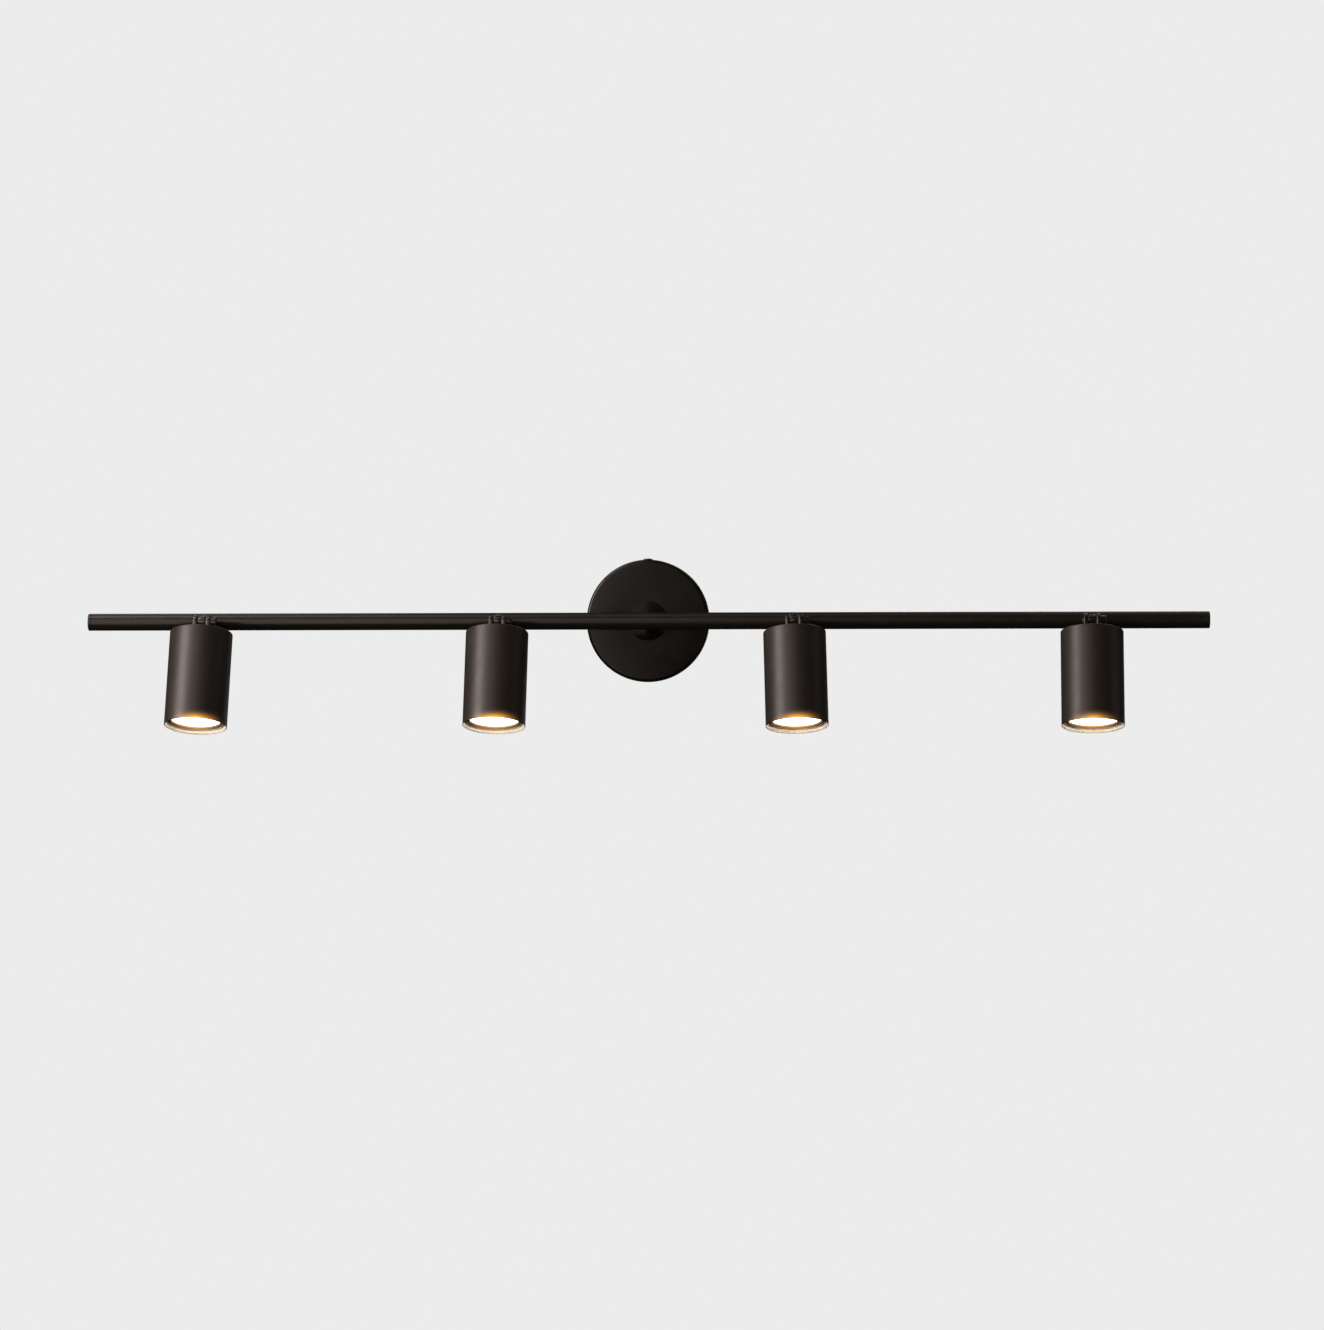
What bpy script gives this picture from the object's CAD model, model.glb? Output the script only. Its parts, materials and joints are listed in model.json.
import json
import math

import bpy
from mathutils import Matrix, Vector


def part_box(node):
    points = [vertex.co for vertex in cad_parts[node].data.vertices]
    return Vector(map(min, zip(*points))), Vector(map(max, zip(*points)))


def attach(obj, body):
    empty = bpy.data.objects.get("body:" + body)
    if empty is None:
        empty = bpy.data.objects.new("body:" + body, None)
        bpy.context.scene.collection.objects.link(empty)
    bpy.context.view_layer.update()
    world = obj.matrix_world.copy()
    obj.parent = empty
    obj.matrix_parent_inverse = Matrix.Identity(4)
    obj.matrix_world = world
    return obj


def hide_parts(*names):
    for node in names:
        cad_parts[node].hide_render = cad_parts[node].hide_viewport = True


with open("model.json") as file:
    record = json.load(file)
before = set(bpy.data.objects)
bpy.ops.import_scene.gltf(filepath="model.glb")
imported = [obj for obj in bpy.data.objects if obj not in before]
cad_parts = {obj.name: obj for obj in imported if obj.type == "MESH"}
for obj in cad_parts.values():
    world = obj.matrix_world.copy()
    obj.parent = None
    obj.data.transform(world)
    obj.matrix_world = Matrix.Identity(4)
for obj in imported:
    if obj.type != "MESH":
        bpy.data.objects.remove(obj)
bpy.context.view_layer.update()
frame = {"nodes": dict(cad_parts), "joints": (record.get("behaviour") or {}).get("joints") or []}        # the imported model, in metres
bpy.ops.object.select_all(action="DESELECT")
print("frame loaded:", len(frame["nodes"]), "nodes")

wallBody = "wall_plate_and_bar"
joints = {joint["name"]: joint for joint in frame["joints"]}
headNumbers = [1, 2, 3, 4]


def swivelPlace(number):
    # a swivel travels as far each way from upright
    swing = joints[f"swivel_{number}"]
    roll = -math.radians(sum(swing["range_deg"]) / 2)
    return Matrix.Translation(swing["pos_m"]) @ Matrix.Rotation(roll, 4, "Y")


def headPlace(number):
    # a head's travel starts straight down
    tilt = -math.radians(joints[f"tilt_{number}"]["range_deg"][0])
    return swivelPlace(number) @ Matrix.Rotation(-tilt, 4, "X")


def localBox(node, place):
    # a node's lowest and highest corner in the place's own directions
    points = [place.inverted() @ vertex.co for vertex in frame["nodes"][node].data.vertices]
    return [Vector(map(extreme, zip(*points))) for extreme in (min, max)]


# camera

cameraView = {
    "location": (0.124, -3.983, 0.019),
    "turn": 1.603,        # degrees left of straight ahead
    "nod": 0.876,        # degrees below level
    "lean": -0.137,
    "lens": 113.8,
    "clip": (0.1, 60),
}


def makeCamera(look):
    turn, nod, lean = (math.radians(look[key]) for key in ("turn", "nod", "lean"))
    bpy.ops.object.camera_add(location=look["location"])
    camera = bpy.context.object
    camera.name = "camera"
    level = Matrix.Rotation(turn, 4, "Z") @ Matrix.Rotation(math.pi / 2 - nod, 4, "X")
    camera.rotation_euler = (level @ Matrix.Rotation(lean, 4, "Z")).to_euler()
    camera.data.lens = look["lens"]
    camera.data.clip_start, camera.data.clip_end = look["clip"]
    bpy.context.scene.camera = camera


makeCamera(cameraView)
print("camera set")


# modelling helpers

def arc(centre, radius, start, end, steps=6):
    # points of an arc in a profile, angles in degrees from outwards
    angles = [math.radians(start + (end - start) * step / steps) for step in range(steps + 1)]
    across, up = centre
    return [(across + radius * math.cos(angle), up + radius * math.sin(angle)) for angle in angles]


def drawOutline(name, points):
    # a line of edges drawn point by point from one vertex
    bpy.ops.mesh.primitive_plane_add(size=0.001, location=(0, 0, 0))
    piece = bpy.context.object
    piece.name = piece.data.name = name
    bpy.ops.object.mode_set(mode="EDIT")
    bpy.ops.mesh.select_all(action="SELECT")
    bpy.ops.mesh.merge(type="CENTER")
    bpy.ops.transform.translate(value=points[0])
    for here, there in zip(points, points[1:]):
        step = tuple(Vector(there) - Vector(here))
        bpy.ops.mesh.extrude_region_move(TRANSFORM_OT_translate={"value": step})
    bpy.ops.mesh.select_all(action="SELECT")
    return piece


def turnedPiece(name, profile, segments=96, closed=True):
    # spins a profile of (radius, height) points round Z, as on a lathe
    loop = profile + profile[:1] if closed else profile
    piece = drawOutline(name, [(radius, 0, height) for radius, height in loop])
    bpy.ops.mesh.spin(steps=segments, angle=2 * math.pi, center=(0, 0, 0), axis=(0, 0, 1))
    finishMesh()
    return piece


def platePiece(name, outline, thickness):
    # an outline in the YZ plane, filled and pulled out along X, centred on X
    piece = drawOutline(name, [(-thickness / 2, y, z) for y, z in outline])
    bpy.ops.mesh.edge_face_add()
    bpy.ops.mesh.extrude_region_move(TRANSFORM_OT_translate={"value": (thickness, 0, 0)})
    finishMesh()
    return piece


def finishMesh():
    bpy.ops.mesh.select_all(action="SELECT")
    bpy.ops.mesh.remove_doubles(threshold=0.000002)
    bpy.ops.mesh.normals_make_consistent(inside=False)
    bpy.ops.object.mode_set(mode="OBJECT")


def pick(piece):
    bpy.ops.object.select_all(action="DESELECT")
    piece.select_set(True)
    bpy.context.view_layer.objects.active = piece


def bake(piece, place):
    # puts a piece in its place in its own mesh
    piece.data.transform(place)
    piece.data.update()
    return piece


def softenEdges(piece, width, segments=3, angle=35):
    pick(piece)
    bpy.ops.object.modifier_add(type="BEVEL")
    bevel = piece.modifiers[-1]
    bevel.width, bevel.segments, bevel.limit_method = width, segments, "ANGLE"
    bevel.angle_limit = math.radians(angle)
    bpy.ops.object.modifier_apply(modifier=bevel.name)
    return piece


def cutWith(piece, cutter):
    pick(piece)
    bpy.ops.object.modifier_add(type="BOOLEAN")
    cut = piece.modifiers[-1]
    cut.operation, cut.solver, cut.object = "DIFFERENCE", "EXACT", cutter
    bpy.ops.object.modifier_apply(modifier=cut.name)
    bpy.data.objects.remove(cutter, do_unlink=True)
    return piece


def rod(name, radius, start, end, sides=48):
    # a straight bar between two points, used as a cutter or a core
    start, end = Vector(start), Vector(end)
    bpy.ops.mesh.primitive_cylinder_add(vertices=sides, radius=radius, depth=(end - start).length)
    piece = bpy.context.object
    piece.name = name
    turn = (end - start).to_track_quat("Z", "Y").to_matrix().to_4x4()
    return bake(piece, Matrix.Translation((start + end) / 2) @ turn)


def joinPieces(name, pieces):
    bpy.ops.object.select_all(action="DESELECT")
    for piece in pieces:
        piece.select_set(True)
    bpy.context.view_layer.objects.active = pieces[0]
    bpy.ops.object.join()
    pieces[0].name = pieces[0].data.name = name
    return pieces[0]


def smooth(piece, angle=32):
    pick(piece)
    bpy.ops.object.shade_smooth_by_angle(angle=math.radians(angle))
    return piece


def settle(piece, material, body, slot, *nodes):
    # gives a finished piece its finish, its body and the nodes that it stands for
    smooth(piece)
    piece.data.materials.clear()
    piece.data.materials.append(material)
    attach(piece, body)
    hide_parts(*nodes)
    piece.select_set(False)
    return piece


def copyPiece(master, name, place):
    piece = master.copy()
    piece.data = master.data.copy()
    piece.name = piece.data.name = name
    bpy.context.scene.collection.objects.link(piece)
    return bake(piece, place)


# finishes

def newFinish(name, colour, roughness, metallic=0.0):
    finish = bpy.data.materials.new(name)
    finish.use_nodes = True
    shader = finish.node_tree.nodes["Principled BSDF"]
    shader.inputs["Base Color"].default_value = (*colour, 1)
    shader.inputs["Roughness"].default_value = roughness
    shader.inputs["Metallic"].default_value = metallic
    return finish, finish.node_tree, shader


def place3d(tree, source="Object"):
    return tree.nodes.new("ShaderNodeTexCoord").outputs[source]


def noise(tree, coordinates, scale, detail=3.0):
    node = tree.nodes.new("ShaderNodeTexNoise")
    node.inputs["Scale"].default_value = scale
    node.inputs["Detail"].default_value = detail
    tree.links.new(coordinates, node.inputs["Vector"])
    return node.outputs["Fac"]


def spread(tree, value, low, high, start=0.3, stop=0.7):
    node = tree.nodes.new("ShaderNodeMapRange")
    for key, number in (("From Min", start), ("From Max", stop), ("To Min", low), ("To Max", high)):
        node.inputs[key].default_value = number
    tree.links.new(value, node.inputs["Value"])
    return node.outputs["Result"]


def blendColours(tree, value, first, second):
    node = tree.nodes.new("ShaderNodeMix")
    node.data_type = "RGBA"
    node.inputs["A"].default_value = (*first, 1)
    node.inputs["B"].default_value = (*second, 1)
    tree.links.new(value, node.inputs["Factor"])
    return node.outputs["Result"]


def bumps(tree, shader, height, strength, depth):
    node = tree.nodes.new("ShaderNodeBump")
    node.inputs["Strength"].default_value = strength
    node.inputs["Distance"].default_value = depth
    tree.links.new(height, node.inputs["Height"])
    tree.links.new(node.outputs["Normal"], shader.inputs["Normal"])


satinCoat = {
    "colour": (0.0115, 0.0092, 0.0058),
    "cloud": (0.0135, 0.0106, 0.0070),        # faint uneven patches in the coat
    "patches": 22,        # patches to a metre
    "roughness": (0.24, 0.31),
    "sheen": 65,        # duller and shinier spots to a metre
    "peel": 1500,        # orange peel, cells to a metre
    "peelStrength": 0.25,
    "peelDepth": 0.00003,
    "shine": 0.5,
}

eggshellCoat = {
    **satinCoat, "colour": (0.020, 0.0152, 0.0104), "cloud": (0.0225, 0.0172, 0.0118),
    "roughness": (0.40, 0.46), "peelDepth": 0.00004,
}
jointLacquer = {**satinCoat, "roughness": (0.12, 0.18), "peelDepth": 0.00002, "shine": 0.9}
plateLacquer = {
    **satinCoat, "colour": (0.0085, 0.0068, 0.0044), "cloud": (0.0100, 0.0079, 0.0052),
    "roughness": (0.15, 0.20), "peelDepth": 0.00002, "shine": 0.30,
}
collarLacquer = {**plateLacquer, "shine": 0.12}


def makeCoat(name, look):
    finish, tree, shader = newFinish(name, look["colour"], look["roughness"][0])
    here = place3d(tree)
    patches = noise(tree, here, look["patches"])
    tree.links.new(blendColours(tree, patches, look["colour"], look["cloud"]), shader.inputs["Base Color"])
    sheen = spread(tree, noise(tree, here, look["sheen"]), *look["roughness"])
    tree.links.new(sheen, shader.inputs["Roughness"])
    shader.inputs["Specular IOR Level"].default_value = look["shine"]
    peel = noise(tree, here, look["peel"], 1.0)
    bumps(tree, shader, peel, look["peelStrength"], look["peelDepth"])
    return finish


steelLook = {"colour": (0.014, 0.0115, 0.009), "roughness": (0.1, 0.18), "sheen": 400, "shine": 0.8}


def makeBlackedSteel(look):
    finish, tree, shader = newFinish("blackedSteel", look["colour"], look["roughness"][0])
    sheen = spread(tree, noise(tree, place3d(tree), look["sheen"]), *look["roughness"])
    tree.links.new(sheen, shader.inputs["Roughness"])
    shader.inputs["Specular IOR Level"].default_value = look["shine"]
    return finish


zincLook = {
    "bright": (0.6, 0.6, 0.585), "dull": (0.47, 0.475, 0.48), "spangle": 260, "metallic": 0.95,
    "roughness": (0.28, 0.44), "sheen": 90,
    "grain": 1800, "grainStrength": 0.15, "grainDepth": 0.00002,
}


def makeZincSteel(look):
    finish, tree, shader = newFinish("zincSteel", look["bright"], look["roughness"][0], look["metallic"])
    here = place3d(tree)
    spangle = tree.nodes.new("ShaderNodeTexVoronoi")
    spangle.inputs["Scale"].default_value = look["spangle"]
    tree.links.new(here, spangle.inputs["Vector"])
    tint = blendColours(tree, spangle.outputs["Distance"], look["bright"], look["dull"])
    tree.links.new(tint, shader.inputs["Base Color"])
    sheen = spread(tree, noise(tree, here, look["sheen"]), *look["roughness"])
    tree.links.new(sheen, shader.inputs["Roughness"])
    bumps(tree, shader, noise(tree, here, look["grain"]), look["grainStrength"], look["grainDepth"])
    return finish


def makePlain(name, colour, roughness, grain, metallic=0.0, depth=0.00003):
    # moulded or turned stock with a fine grain of its own
    finish, tree, shader = newFinish(name, colour, roughness, metallic)
    here = place3d(tree)
    darker = tuple(channel * 0.82 for channel in colour)
    tint = blendColours(tree, noise(tree, here, grain / 8), colour, darker)
    sheen = spread(tree, noise(tree, here, grain / 4), roughness * 0.85, roughness * 1.15)
    tree.links.new(tint, shader.inputs["Base Color"])
    tree.links.new(sheen, shader.inputs["Roughness"])
    bumps(tree, shader, noise(tree, here, grain), 0.2, depth)
    return finish


glow = {
    "glass": (0.95, 0.9, 0.8),
    "roughness": 0.35,
    "heart": (1.0, 0.86, 0.64),        # warm white, far over what the eye takes in
    "edge": (1.0, 0.84, 0.62),
    "strength": (10.5, 4.4),
    "fade": (0.06, 0.50),        # where the light falls off towards the lens's edge
    "fall": 1.3,
    "frosting": 700,        # grains to a metre
    "frostStrength": 0.2,
    "frostDepth": 0.00005,
}


def makeLens(look):
    finish, tree, shader = newFinish("litLens", look["glass"], look["roughness"])
    reach = tree.nodes.new("ShaderNodeVectorMath")
    reach.operation = "DISTANCE"
    reach.inputs[1].default_value = (0.5, 0.5, 0)
    tree.links.new(place3d(tree, "UV"), reach.inputs[0])
    lit = spread(tree, reach.outputs["Value"], 1, 0, *look["fade"])
    tree.links.new(blendColours(tree, lit, look["edge"], look["heart"]), shader.inputs["Emission Color"])
    beam = tree.nodes.new("ShaderNodeMath")
    beam.operation = "POWER"
    beam.inputs[1].default_value = look["fall"]
    tree.links.new(lit, beam.inputs[0])
    full, faint = look["strength"]
    power = spread(tree, beam.outputs["Value"], faint, full, 0, 1)
    tree.links.new(power, shader.inputs["Emission Strength"])
    frost = noise(tree, place3d(tree), look["frosting"])
    bumps(tree, shader, frost, look["frostStrength"], look["frostDepth"])
    return finish


blackCoat = makeCoat("blackCoat", satinCoat)
headCoat = makeCoat("headCoat", eggshellCoat)
plateCoat = makeCoat("plateCoat", plateLacquer)
collarCoat = makeCoat("collarCoat", collarLacquer)
jointCoat = makeCoat("jointCoat", jointLacquer)
blackedSteel = makeBlackedSteel(steelLook)
zincSteel = makeZincSteel(zincLook)
litLens = makeLens(glow)
liner = makePlain("whiteLiner", (0.90, 0.87, 0.80), 0.5, 500, depth=0.000008)
lampBezel = makePlain("lampBezel", (0.085, 0.03, 0.005), 0.6, 900)
lampPlastic = makePlain("lampPlastic", (0.62, 0.6, 0.57), 0.45, 700)
brassTurned = makePlain("brass", (0.72, 0.5, 0.2), 0.3, 900, 0.95)
ceramicBody = makePlain("ceramic", (0.8, 0.77, 0.7), 0.4, 500)
terminalPlastic = makePlain("terminalPlastic", (0.78, 0.75, 0.66), 0.5, 600)
greenPaint = makePlain("greenPaint", (0.02, 0.19, 0.05), 0.35, 600)
brownPvc = makePlain("brownPvc", (0.09, 0.03, 0.012), 0.42, 900)
bluePvc = makePlain("bluePvc", (0.01, 0.05, 0.26), 0.42, 900)
earthPvc = makePlain("earthPvc", (0.16, 0.3, 0.02), 0.42, 900)
leadSheath = makePlain("leadSheath", (0.02, 0.02, 0.02), 0.5, 900)
print("finishes made")


# bar

barLook = {
    "segments": 128, "wall": 0.0015, "edge": 0.0007, "seam": 0.00025, "plugInset": 0.0002,
    "flatShare": 0.55,        # the cap's face is nearly flat over this share of its radius
    "sag": 0.05,        # how far it falls there, as a share of its edge
}


def makeBar(look):
    low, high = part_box("bar_tube")
    radius, length = (high.z - low.z) / 2, high.x - low.x
    middle = (low + high) / 2
    bore = radius - look["wall"]
    halfway = length / 2
    seam = look["seam"]
    profile = [(bore, -halfway), (radius - seam, -halfway), (radius, -halfway + seam),
               (radius, halfway - seam), (radius - seam, halfway), (bore, halfway)]
    tube = turnedPiece("barTube", profile, look["segments"])
    alongX = Matrix.Translation(middle) @ Matrix.Rotation(math.pi / 2, 4, "Y")
    bake(tube, alongX)
    settle(tube, blackCoat, wallBody, "black_coat", "bar_tube")
    for side, node in ((-1, "left_end_cap"), (1, "right_end_cap")):
        makeEndCap(look, side, node, radius, bore, middle)


def makeEndCap(look, side, node, radius, bore, middle):
    low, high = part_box(node)
    inner, outer = (high.x, low.x) if side < 0 else (low.x, high.x)
    face = abs(outer - inner)
    tubeLow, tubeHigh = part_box("bar_tube")
    seat = abs(tubeHigh.x - low.x) if side > 0 else abs(high.x - tubeLow.x)
    plug = bore - look["plugInset"]
    edge, seam = look["edge"], look["seam"]
    profile = [(0, 0), (plug, 0), (plug, seat), (radius - seam, seat), (radius, seat + seam)]
    profile += arc((radius - edge, face - edge), edge, 0, 75, 5)
    profile += [(radius * look["flatShare"], face - edge * look["sag"]), (0, face)]
    cap = turnedPiece("endCapLeft" if side < 0 else "endCapRight", profile, look["segments"], closed=False)
    turn = Matrix.Rotation(side * math.pi / 2, 4, "Y")
    bake(cap, Matrix.Translation((inner, middle.y, middle.z)) @ turn)
    settle(cap, blackCoat, wallBody, "black_coat", node)


makeBar(barLook)
print("bar made")


# canopy, collar and post

outOfWall = Matrix.Rotation(math.pi / 2, 4, "X")        # the lathe's Z becomes -Y

canopyLook = {
    "segments": 160, "edge": 0.0035, "wall": 0.0015, "lip": 0.0003,
    "faceRing": 0.5,        # a ring of points in the face, at this share of the radius
    "screwHole": 0.0023, "postHole": 0.0052, "drill": 0.08,
}


def makeCanopy(look):
    low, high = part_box("canopy")
    radius, depth = (high.x - low.x) / 2, high.y - low.y
    wall, edge, lip = look["wall"], look["edge"], look["lip"]
    profile = [(radius - wall, 0), (radius - lip, 0), (radius, lip)]
    profile += arc((radius - edge, depth - edge), edge, 0, 90, 10)
    hole = look["postHole"]
    profile += [(radius * look["faceRing"], depth), (hole, depth), (hole, depth - wall)]
    profile += arc((radius - edge, depth - edge), edge - wall, 90, 0, 8)
    cover = turnedPiece("canopyCover", profile, look["segments"])
    bake(cover, outOfWall)
    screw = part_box("canopy_screw")
    spot = Vector(((screw[0].x + screw[1].x) / 2, (screw[0].y + screw[1].y) / 2, 0))
    reach = Vector((0, 0, look["drill"]))
    cutWith(cover, rod("screwHole", look["screwHole"], spot - reach, spot + reach))
    settle(cover, plateCoat, wallBody, "black_coat", "canopy")


collarLook = {
    "segments": 96, "rings": 14, "foot": 0.001, "crown": 0.003, "land": 0.0005, "edge": 0.0002,
    "holeInset": 0.002,
}


def makeCollar(look):
    # a low dome on a straight foot, with a flat sunk in its top for the post
    low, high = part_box("collar")
    postRadius = (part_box("post")[1].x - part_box("post")[0].x) / 2
    radius = (high.x - low.x) / 2
    dome = look["crown"]
    curve = (radius ** 2 + dome ** 2) / (2 * dome)
    hole, land = postRadius - look["holeInset"], look["foot"] + dome - look["land"]
    rings = look["rings"]

    def surface(reach):
        return look["foot"] + dome - curve + math.sqrt(curve ** 2 - reach ** 2)

    profile = [(hole, 0), (radius - look["edge"], 0), (radius, look["edge"]), (radius, look["foot"])]
    reaches = [radius + (postRadius - radius) * step / rings for step in range(1, rings + 1)]
    profile += [(reach, surface(reach)) for reach in reaches]
    profile += [(postRadius, land), (hole, land)]
    piece = turnedPiece("collarDisc", profile, look["segments"])
    bake(piece, Matrix.Translation((0, high.y, 0)) @ outOfWall)
    settle(piece, collarCoat, wallBody, "black_coat", "collar")


postLook = {
    "segments": 64, "sink": 0.003,        # runs just into the tube's wall
    "thread": 0.005, "wall": 0.0014, "lead": 0.0006, "pitch": 0.001, "threadDepth": 0.0004,
    "plainEnd": 0.008, "neck": 0.004, "edge": 0.0003,
}


def makePost(look):
    low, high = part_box("post")
    radius = (high.x - low.x) / 2
    start, end = -high.y, -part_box("bar_tube")[1].y + look["sink"]
    collarFront = -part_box("canopy")[0].y + collarLook["foot"] + collarLook["crown"] - collarLook["land"]
    thread, pitch, lead, edge = look["thread"], look["pitch"], look["lead"], look["edge"]
    bore = thread - look["wall"]
    profile = [(bore, start), (thread - lead, start), (thread, start + lead)]
    turns = int((collarFront - look["plainEnd"] - start) / pitch)
    for turn in range(turns):        # thread crests of the nipple
        level = start + pitch + turn * pitch
        profile += [(thread, level), (thread - look["threadDepth"], level + pitch / 2)]
    profile += [(thread, collarFront - look["neck"]), (thread, collarFront), (radius - edge, collarFront),
                (radius, collarFront + edge), (radius, end), (bore, end)]
    piece = turnedPiece("postStub", profile, look["segments"])
    bake(piece, outOfWall)
    settle(piece, blackCoat, wallBody, "black_coat", "post")


screwLook = {
    "segments": 40, "shank": 0.002, "tip": 0.0004, "tipHeight": 0.0005, "dome": 0.0012, "brim": 0.0003,
    "socket": 0.0014, "socketDepth": 0.0013, "overshoot": 0.002,
}


def makeCanopyScrew(look):
    low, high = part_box("canopy_screw")
    head = (high.x - low.x) / 2
    shank, tip, dome = look["shank"], look["tip"], look["dome"]
    length = high.z - low.z
    rise = dome - look["brim"]
    profile = [(0, 0), (shank - tip, 0), (shank, look["tipHeight"])]
    profile += [(shank, length - dome), (head, length - dome)]
    profile += [(head * math.cos(angle), length - rise + rise * math.sin(angle))
                for angle in (math.radians(step * 15) for step in range(6))]
    profile += [(0, length)]
    piece = turnedPiece("canopyScrew", profile, look["segments"], closed=False)
    floor, above = (0, 0, length - look["socketDepth"]), (0, 0, length + look["overshoot"])
    cutWith(piece, rod("hexKey", look["socket"], floor, above, sides=6))
    bake(piece, Matrix.Translation(((low.x + high.x) / 2, (low.y + high.y) / 2, low.z)))
    settle(piece, blackedSteel, wallBody, "black_coat", "canopy_screw")


makeCanopy(canopyLook)
makeCollar(collarLook)
makePost(postLook)
makeCanopyScrew(screwLook)
print("canopy, collar and post made")


# swivels: boss on the tube, then stem and tongue

swivelLook = {
    "segments": 64, "edge": 0.0004,
    "bossBore": 0.00355, "bossSink": 0.003,        # the weld root, sunk into the tube's wall
    "tongueWidth": 0.0076, "tongueEdge": 0.0008, "tongueBack": 0.0082, "tongueStep": 0.001,
    "stem": 0.005, "stemStart": 0.0072, "stemFillet": 0.0008, "stemBore": 0.002,
    "shaft": 0.0035, "shaftLength": 0.0128, "flange": 0.0025,
}


def makeBosses(look):
    low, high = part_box("swivel_bosses")
    radius = (high.z - low.z) / 2
    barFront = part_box("bar_tube")[0].y
    height = barFront - low.y
    bore, sink = look["bossBore"], look["bossSink"]
    profile = [(bore, -sink), (radius, -sink), (radius, height - look["edge"])]
    profile += arc((radius - look["edge"], height - look["edge"]), look["edge"], 30, 90, 2)
    profile += [(bore, height)]
    master = turnedPiece("boss", profile, look["segments"])
    bosses = []
    for number in headNumbers:
        x = joints[f"swivel_{number}"]["pos_m"][0]
        bosses.append(copyPiece(master, f"boss{number}", Matrix.Translation((x, barFront, 0)) @ outOfWall))
    bpy.data.objects.remove(master, do_unlink=True)
    whole = joinPieces("swivelBosses", bosses)
    settle(whole, blackCoat, wallBody, "black_coat", "swivel_bosses")


def makeSwivels(look):
    low, high = localBox("swivel_1", swivelPlace(1))
    tongueRadius = -low.y
    flangeRadius = (high.x - low.x) / 2
    stem, stemStart, bore = look["stem"], look["stemStart"], look["stemBore"]
    fillet, shaft, edge = look["stemFillet"], look["shaft"], look["edge"]
    flangeBack = high.y - look["shaftLength"]
    flangeFront = flangeBack - look["flange"]
    nose = arc((0, 0), tongueRadius, 100, 260, 20)        # rounded nose towards the room, seen along X
    back, side = look["tongueBack"], tongueRadius - look["tongueStep"]
    outline = nose + [(back, -side), (back, side)]
    tongue = platePiece("tongue", outline + outline[:1], look["tongueWidth"])
    softenEdges(tongue, look["tongueEdge"])
    profile = [(0, stemStart), (stem - edge, stemStart), (stem, stemStart + edge)]
    profile += [(stem, flangeFront - fillet)]
    profile += arc((stem + fillet, flangeFront - fillet), fillet, 180, 90, 4)
    profile += arc((flangeRadius - edge, flangeFront + edge), edge, -90, 0, 3)
    profile += arc((flangeRadius - edge, flangeBack - edge), edge, 0, 90, 3)
    profile += [(shaft, flangeBack), (shaft, high.y - edge), (shaft - edge, high.y), (bore, high.y),
                (bore, stemStart + bore), (0, stemStart + bore)]
    stemPiece = turnedPiece("stem", profile, look["segments"], closed=False)
    # the lathe's Z becomes +Y, back to the bar
    bake(stemPiece, Matrix.Rotation(-math.pi / 2, 4, "X"))
    master = joinPieces("swivelMaster", [tongue, stemPiece])
    for number in headNumbers:
        piece = copyPiece(master, f"swivelArm{number}", swivelPlace(number))
        settle(piece, blackedSteel, f"swivel_arm_{number}", "black_coat", f"swivel_{number}")
    bpy.data.objects.remove(master, do_unlink=True)


makeBosses(swivelLook)
makeSwivels(swivelLook)
print("swivels made")


# heads

yokeLook = {
    "segments": 64, "edge": 0.0007, "ear": 0.0038,
    "foot": 0.0026, "footRound": 0.0006, "earFoot": 0.001, "relief": 0.0002,
    "stud": 0.004, "studBore": 0.0021, "studTip": 0.0005, "shellEnd": 0.0025,
}


def makeYokes(look):
    low, high = localBox("yoke_1", headPlace(1))
    earRadius, footRadius = high.z, high.x
    shellTop = localBox("shell_1", headPlace(1))[1].z
    earOut = -localBox("pivot_screw_1", headPlace(1))[0].x
    earThickness = look["ear"]
    footTop = shellTop + look["foot"]
    earFoot = footTop - look["earFoot"]
    top = arc((0, 0), earRadius, 0, 180, 24)
    outline = top + [(-earRadius, earFoot), (earRadius, earFoot)]
    ears = []
    for side in (-1, 1):
        ear = platePiece("ear", outline + outline[:1], earThickness)
        softenEdges(ear, look["edge"])
        ears.append(bake(ear, Matrix.Translation((side * (earOut - earThickness / 2), 0, 0))))
    stud, bore, tip, bend = look["stud"], look["studBore"], look["studTip"], look["footRound"]
    profile = [(bore, low.z), (stud - tip, low.z), (stud, low.z + tip), (stud, shellTop - look["shellEnd"]),
               (stud, shellTop), (footRadius - look["relief"], shellTop)]
    profile += arc((footRadius - bend, footTop - bend), bend, 0, 90, 4)
    profile += [(bore, footTop)]
    foot = turnedPiece("foot", profile, look["segments"])
    master = joinPieces("yokeMaster", ears + [foot])
    for number in headNumbers:
        piece = copyPiece(master, f"yoke{number}", headPlace(number))
        settle(piece, jointCoat, f"head_{number}", "black_coat", f"yoke_{number}")
    bpy.data.objects.remove(master, do_unlink=True)


pinLook = {
    "segments": 64, "edge": 0.0008, "relief": 0.0003,
    "thread": 0.002, "tip": 0.0004, "shoulder": 0.0025, "shoulderEnd": 0.0041,
    "socket": 0.00175, "socketDepth": 0.0028, "overshoot": 0.002,
}


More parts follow.
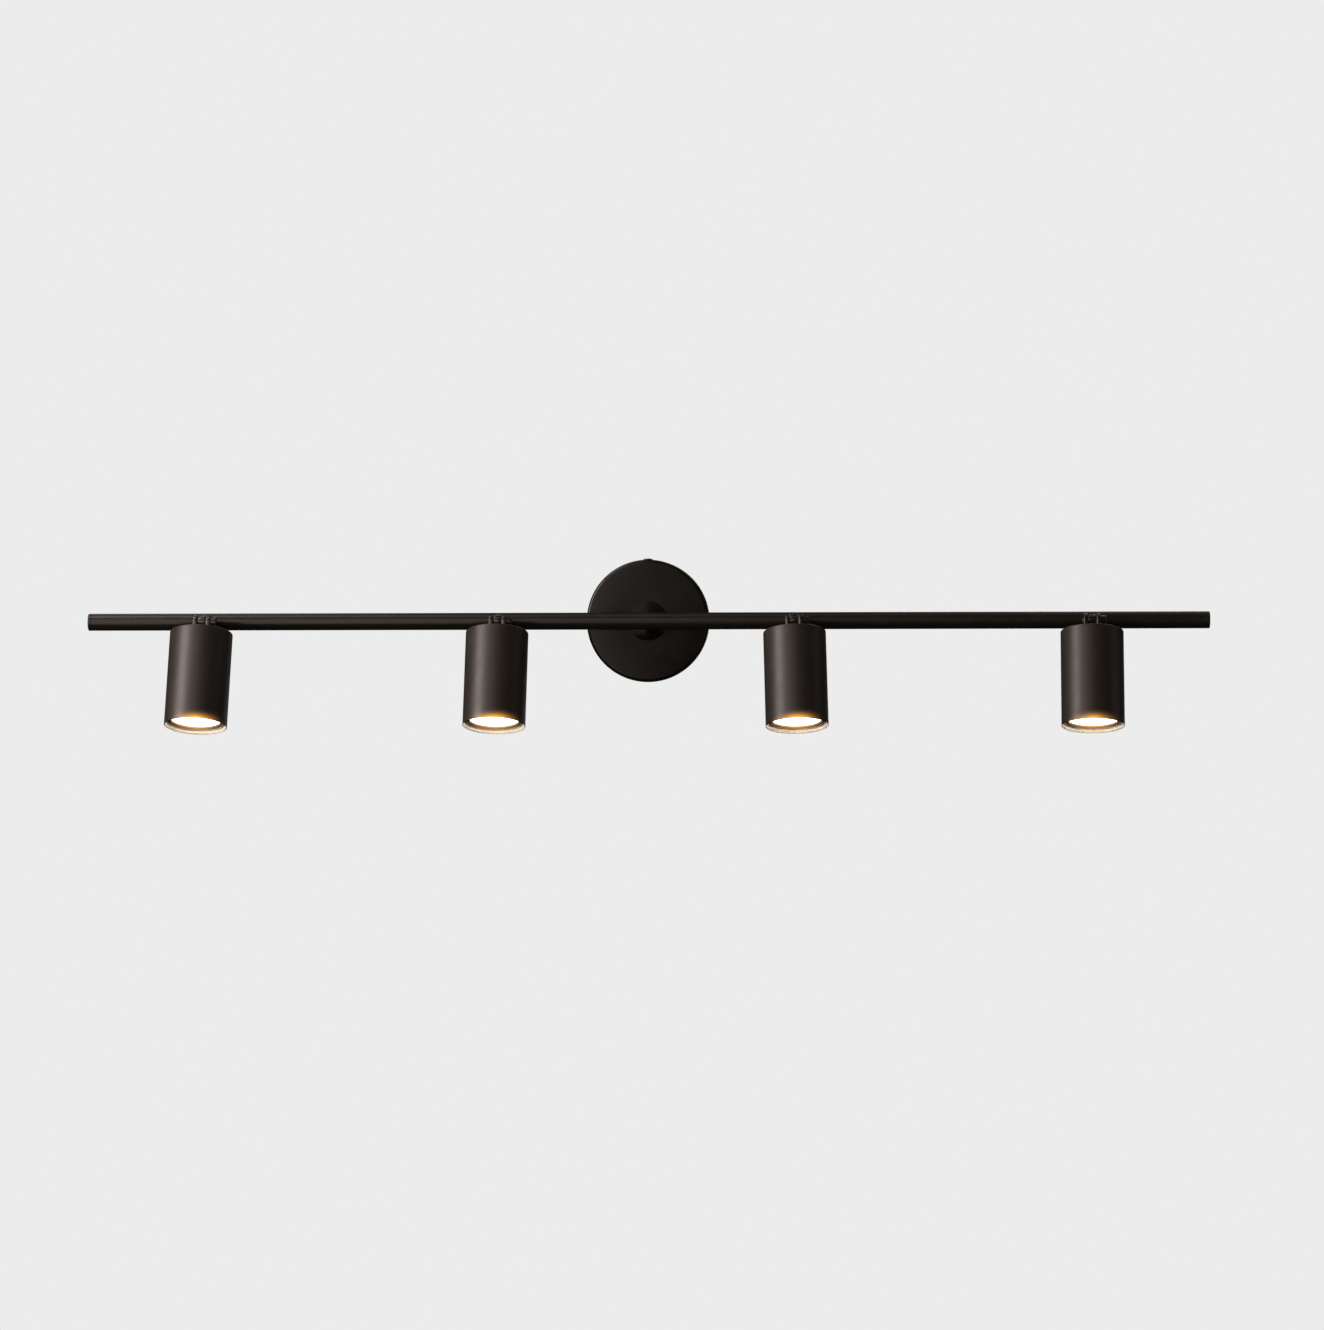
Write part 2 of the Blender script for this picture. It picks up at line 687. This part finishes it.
def makePivotScrews(look):
    low, high = localBox("pivot_screw_1", headPlace(1))
    head = (high.z - low.z) / 2
    headStart = -low.x        # the ears stand as far out on both sides
    edge, relief, tip = look["edge"], look["relief"], look["tip"]
    thread, shoulder, end = look["thread"], look["shoulder"], -look["shoulderEnd"]
    profile = [(0, low.x), (thread - tip, low.x), (thread, low.x + tip), (thread, end), (shoulder, end),
               (shoulder, headStart), (head - relief, headStart), (head, headStart + relief)]
    profile += arc((head - edge, high.x - edge), edge, 0, 90, 5)
    profile += [(0, high.x)]
    master = turnedPiece("pinMaster", profile, look["segments"], closed=False)
    floor, above = (0, 0, high.x - look["socketDepth"]), (0, 0, high.x + look["overshoot"])
    cutWith(master, rod("hexKey", look["socket"], floor, above, sides=6))
    bake(master, Matrix.Rotation(math.pi / 2, 4, "Y"))        # the lathe's Z becomes +X
    for number in headNumbers:
        piece = copyPiece(master, f"pivotScrew{number}", headPlace(number))
        settle(piece, blackedSteel, f"head_{number}", "black_steel", f"pivot_screw_{number}")
    bpy.data.objects.remove(master, do_unlink=True)


shellLook = {
    "segments": 128, "wall": 0.0015, "end": 0.0025, "edge": 0.0012, "lip": 0.0004, "break": 0.00012,
    "hole": 0.0041, "holeEdge": 0.0003, "inset": 0.001, "paintGap": 0.0002,
    "wallRing": 0.030,        # a ring of points this far up from the mouth splits the inner wall
}


def makeShells(look):
    low, high = localBox("shell_1", headPlace(1))
    radius, mouth, top = (high.x - low.x) / 2, low.z, high.z
    wall, edge, lip, soft = look["wall"], look["edge"], look["lip"], look["break"]
    inside = radius - wall
    profile = [(inside, mouth + wall - lip), (radius - lip, mouth),
               (radius - soft, mouth), (radius, mouth + soft)]
    profile += arc((radius - edge, top - edge), edge, 0, 90, 8)
    hole, ceiling = look["hole"], top - look["end"]
    bevel, inset = look["holeEdge"], look["inset"]
    profile += [(hole + bevel, top), (hole, top - bevel), (hole, ceiling)]
    profile += [(inside - inset, ceiling), (inside, ceiling - inset), (inside, mouth + look["wallRing"])]
    master = turnedPiece("shellMaster", profile, look["segments"])
    for number in headNumbers:
        piece = copyPiece(master, f"shell{number}", headPlace(number))
        settle(piece, headCoat, f"head_{number}", "black_coat", f"shell_{number}")
        paintMouth(piece, headPlace(number), radius - lip, inside - look["paintGap"])
    bpy.data.objects.remove(master, do_unlink=True)


def paintMouth(piece, place, outer, inner):
    # the wall inside the shell and the chamfer at its mouth are white, the rest is coated
    piece.data.materials.append(liner)
    toHead = place.inverted()
    for face in piece.data.polygons:
        centre = toHead @ face.center
        reach = math.hypot(centre.x, centre.y)
        outwards = Vector((centre.x, centre.y, 0)).normalized()
        inwards = (toHead.to_3x3() @ face.normal).dot(outwards) < -0.5
        if inwards and inner * 0.98 < reach < outer:
            face.material_index = 1


lampLook = {
    "segments": 96, "bezelEdge": 0.0006, "lipRound": 0.0003, "seatGap": 0.0001, "bezelDepth": 0.005,
    "crown": 0.0003, "lensEdge": 0.0004,
    "crownRings": ((0.75, 0.45), (0.4, 0.12)),        # shares of the lens's radius and of the crown
    "frontWall": 0.016, "taper": 0.001, "shoulder": 0.020,
    "coneStep": 0.004, "coneEnd": 0.012, "neck": 0.009, "base": 0.0115, "baseEdge": 0.0004,
    "pinLength": 0.007, "pinOffset": 0.005, "pinSegments": 24,
    "pinOutline": [(0, 0), (0.0015, 0), (0.0015, 0.0052), (0.0024, 0.0052), (0.0024, 0.0066),
                   (0.002, 0.007), (0, 0.007)],
}


def makeLamps(look):
    low, high = localBox("lamp_body_1", headPlace(1))
    lensLow, lensHigh = localBox("lamp_lens_1", headPlace(1))
    radius, front, back = (high.x - low.x) / 2, low.z, high.z
    lens = (lensHigh.x - lensLow.x) / 2
    base, seat = look["base"], back - look["pinLength"]
    edge, lip, gap, baseEdge = look["bezelEdge"], look["lipRound"], look["seatGap"], look["baseEdge"]
    floor = lensHigh.z + gap        # the lens sits on this floor, behind the rim
    profile = [(0, floor), (lens + gap, floor), (lens + gap, front + lip)]
    profile += arc((lens + gap + lip, front + lip), lip, 180, 270, 3)
    profile += arc((radius - edge, front + edge), edge, 270, 360, 4)
    profile += [(radius, front + look["frontWall"]), (radius - look["taper"], front + look["shoulder"]),
                (base + look["coneStep"], seat - look["coneEnd"]), (base, seat - look["neck"]),
                (base, seat - baseEdge), (base - baseEdge, seat), (0, seat)]
    body = turnedPiece("lampBody", profile, look["segments"], closed=False)
    pins = []
    for side in (-1, 1):
        pin = turnedPiece("lampPin", look["pinOutline"], look["pinSegments"], closed=False)
        pins.append(bake(pin, Matrix.Translation((0, side * look["pinOffset"], seat))))
    bodyMaster = joinPieces("lampMaster", [body] + pins)
    crown, rim = look["crown"], look["lensEdge"]
    face, lensBack = lensLow.z, lensHigh.z - gap
    lensProfile = [(0, lensBack), (lens, lensBack), (lens, face + rim + crown), (lens - rim, face + crown)]
    lensProfile += [(lens * share, face + crown * fall) for share, fall in look["crownRings"]]
    lensProfile += [(0, face)]
    lensMaster = turnedPiece("lensMaster", lensProfile, look["segments"], closed=False)
    mapFlat(lensMaster, lens)
    for number in headNumbers:
        place, bodyName = headPlace(number), f"head_{number}"
        lamp = copyPiece(bodyMaster, f"lampBody{number}", place)
        settle(lamp, lampPlastic, bodyName, "lamp_plastic", f"lamp_body_{number}")
        paintBezel(lamp, place, front + look["bezelDepth"])
        glass = copyPiece(lensMaster, f"lampLens{number}", place)
        settle(glass, litLens, bodyName, "lens", f"lamp_lens_{number}")
    for master in (bodyMaster, lensMaster):
        bpy.data.objects.remove(master, do_unlink=True)


def paintBezel(piece, place, back):
    # the rim round the lens is dark, down to a little way behind it
    piece.data.materials.append(lampBezel)
    toHead = place.inverted()
    for face in piece.data.polygons:
        if (toHead @ face.center).z < back:
            face.material_index = 1


def mapFlat(piece, radius):
    # a flat map across the lens, its centre at 0.5, 0.5
    layer = piece.data.uv_layers.active or piece.data.uv_layers.new(name="face")
    for loop in piece.data.loops:
        spot = piece.data.vertices[loop.vertex_index].co
        layer.data[loop.index].uv = (0.5 + spot.x / radius / 2, 0.5 + spot.y / radius / 2)


makeYokes(yokeLook)
makePivotScrews(pinLook)
makeShells(shellLook)
makeLamps(lampLook)
print("heads made")


# nodes that keep their own shape

keptFinishes = {
    "wall_bracket": zincSteel, "ground_screw": greenPaint, "post_nut": zincSteel,
    "canopy_grub_screw": blackedSteel, "terminal_block": terminalPlastic,
    "live_wire": brownPvc, "neutral_wire": bluePvc, "earth_wire": earthPvc,
    "swivel_retainer": brassTurned, "yoke_nut": zincSteel,
    "holder_bracket": zincSteel, "lamp_holder": ceramicBody, "lamp_lead": leadSheath,
}


def dressKeptNodes(finishes):
    for name, node in frame["nodes"].items():
        if node.hide_render:
            continue
        stem = name.rstrip("0123456789").rstrip("_")
        node.data.materials.clear()
        node.data.materials.append(finishes[stem])
        for face in node.data.polygons:
            face.material_index = 0


dressKeptNodes(keptFinishes)
print("kept nodes dressed")


# studio

studio = {
    "backdrop": (0.838, 0.838, 0.842),
    "surroundings": 0.02,        # what the dark coat mirrors where no light stands
    "lightTint": (1.0, 0.87, 0.83),
    "floorHeight": -0.9,
    "floorSize": (5.0, 2.6),
    "floorCentre": (0, -0.55),
    "floorColour": (0.15, 0.15, 0.15),
    "floorRoughness": 0.9,
    "floorGlow": 0.87,
    "floorMelt": (0.2, 0.98),        # the floor melts away between these shares of its reach
}

# place is azimuth, elevation and distance: azimuth 0 is straight out from the wall, 90 is to the right
# size is in metres, and brightness is the panel's own
softboxes = {
    "keyStrip": {"place": (-64, 15, 2.1), "size": (0.78, 1.8), "brightness": 9.2},
    "upperLeftStrip": {"place": (-66, 55, 2.4), "size": (0.5, 0.9), "brightness": 5.5},
    "leftPanel": {"place": (-27, 2, 2.7), "size": (2.0, 4.0), "brightness": 1.1},
    "frontPanel": {"place": (-4.4, 12, 2.7), "size": (0.24, 3.0), "brightness": 0.5},
    "frontRightPanel": {"place": (3, 20, 2.7), "size": (0.42, 2.0), "brightness": 0.17},
    "overheadPanel": {"place": (-75, 59, 2.33), "size": (2.0, 1.8), "brightness": 0.9},
    "overheadRight": {"place": (100, 72, 2.2), "size": (1.1, 3.0), "brightness": 0.25},
    "lowRightPanel": {"place": (40, -10, 2.4), "size": (1.0, 0.7), "brightness": 1.2},
    "backLeft": {"place": (-150, 38, 3.0), "size": (1.6, 0.8), "brightness": 1.2},
    "backRight": {"place": (150, 38, 3.0), "size": (1.6, 0.8), "brightness": 1.6},
    "rightPanel": {"place": (88, 8, 2.5), "size": (1.2, 1.8), "brightness": 0.27},
    "backLow": {"place": (152, -14, 2.6), "size": (1.8, 1.0), "brightness": 0.7},
}


def makeWorld(look):
    world = bpy.data.worlds.new("studioAir")
    bpy.context.scene.world = world
    world.use_nodes = True
    tree = world.node_tree
    seen = tree.nodes["Background"]
    seen.inputs["Color"].default_value = (*look["backdrop"], 1)
    dim = tree.nodes.new("ShaderNodeBackground")
    dim.inputs["Color"].default_value = (look["surroundings"],) * 3 + (1,)
    path = tree.nodes.new("ShaderNodeLightPath")
    mix = tree.nodes.new("ShaderNodeMixShader")
    tree.links.new(path.outputs["Is Camera Ray"], mix.inputs["Fac"])
    tree.links.new(dim.outputs["Background"], mix.inputs[1])
    tree.links.new(seen.outputs["Background"], mix.inputs[2])
    tree.links.new(mix.outputs["Shader"], tree.nodes["World Output"].inputs["Surface"])


def makeSoftbox(name, look, tint):
    azimuth, elevation = (math.radians(angle) for angle in look["place"][:2])
    level = math.cos(elevation)
    out = Vector((math.sin(azimuth) * level, -math.cos(azimuth) * level, math.sin(elevation)))
    bpy.ops.object.light_add(type="AREA", location=out * look["place"][2])
    light = bpy.context.object
    light.name = name
    light.rotation_euler = out.to_track_quat("Z", "Y").to_euler()
    light.data.shape = "RECTANGLE"
    light.data.size, light.data.size_y = look["size"]
    light.data.color = tint
    light.data.energy = look["brightness"] * math.pi * look["size"][0] * look["size"][1]
    light.visible_camera = False


def makeFloor(look):
    # a pale floor that melts into the backdrop on all sides
    bpy.ops.mesh.primitive_plane_add(size=1, location=(*look["floorCentre"], look["floorHeight"]))
    floor = bpy.context.object
    floor.name = "floor"
    floor.data.transform(Matrix.Diagonal((*look["floorSize"], 1, 1)))
    finish, tree, shader = newFinish("paleFloor", look["floorColour"], look["floorRoughness"])
    shader.inputs["Emission Color"].default_value = (*look["backdrop"], 1)
    shader.inputs["Emission Strength"].default_value = look["floorGlow"]
    squeeze = tree.nodes.new("ShaderNodeVectorMath")
    squeeze.operation = "MULTIPLY"
    squeeze.inputs[1].default_value = (2 / look["floorSize"][0], 2 / look["floorSize"][1], 0)
    tree.links.new(place3d(tree), squeeze.inputs[0])
    reach = tree.nodes.new("ShaderNodeVectorMath")
    reach.operation = "LENGTH"
    tree.links.new(squeeze.outputs["Vector"], reach.inputs[0])
    backdrop = tree.nodes.new("ShaderNodeEmission")
    backdrop.inputs["Color"].default_value = (*look["backdrop"], 1)
    melt = tree.nodes.new("ShaderNodeMixShader")
    tree.links.new(spread(tree, reach.outputs["Value"], 0, 1, *look["floorMelt"]), melt.inputs["Fac"])
    tree.links.new(shader.outputs["BSDF"], melt.inputs[1])
    tree.links.new(backdrop.outputs["Emission"], melt.inputs[2])
    dim = tree.nodes.new("ShaderNodeEmission")
    dim.inputs["Color"].default_value = (look["surroundings"],) * 3 + (1,)
    path = tree.nodes.new("ShaderNodeLightPath")
    seen = tree.nodes.new("ShaderNodeMixShader")
    tree.links.new(path.outputs["Is Camera Ray"], seen.inputs["Fac"])
    tree.links.new(dim.outputs["Emission"], seen.inputs[1])
    tree.links.new(melt.outputs["Shader"], seen.inputs[2])
    side = tree.nodes.new("ShaderNodeNewGeometry")        # from below the floor is clear
    clear = tree.nodes.new("ShaderNodeBsdfTransparent")
    whole = tree.nodes.new("ShaderNodeMixShader")
    tree.links.new(side.outputs["Backfacing"], whole.inputs["Fac"])
    tree.links.new(seen.outputs["Shader"], whole.inputs[1])
    tree.links.new(clear.outputs["BSDF"], whole.inputs[2])
    tree.links.new(whole.outputs["Shader"], tree.nodes["Material Output"].inputs["Surface"])
    floor.data.materials.append(finish)


haze = {
    "threshold": 4.6,
    "ceiling": 6.6,        # brighter highlights spread no further than this
    "reach": 10,
    "tint": (0.72, 0.38, 0.10, 1),
}


def makeHaze(look):
    # the warm haze that a lens sees round the lit lamps
    scene = bpy.context.scene
    scene.use_nodes = True
    tree = scene.node_tree
    tree.nodes.clear()
    layers = tree.nodes.new("CompositorNodeRLayers")
    bright = tree.nodes.new("CompositorNodeGlare")
    bright.glare_type = "BLOOM"
    for key, value in (("Threshold", look["threshold"]), ("Clamp", True), ("Maximum", look["ceiling"])):
        bright.inputs[key].default_value = value
    blur = tree.nodes.new("CompositorNodeBlur")
    blur.filter_type = "GAUSS"
    blur.size_x = blur.size_y = look["reach"]
    warm, total = (tree.nodes.new("CompositorNodeMixRGB") for step in range(2))
    warm.blend_type, total.blend_type = "MULTIPLY", "ADD"
    warm.inputs[2].default_value = look["tint"]
    result = tree.nodes.new("CompositorNodeComposite")
    tree.links.new(layers.outputs["Image"], bright.inputs["Image"])
    tree.links.new(bright.outputs["Highlights"], blur.inputs["Image"])
    tree.links.new(blur.outputs["Image"], warm.inputs[1])
    tree.links.new(layers.outputs["Image"], total.inputs[1])
    tree.links.new(warm.outputs["Image"], total.inputs[2])
    tree.links.new(total.outputs["Image"], result.inputs["Image"])


makeWorld(studio)
makeFloor(studio)
for name, softbox in softboxes.items():
    makeSoftbox(name, softbox, studio["lightTint"])
makeHaze(haze)
bpy.context.scene.view_settings.view_transform = "Standard"
print("studio lit")

print("sizes written")
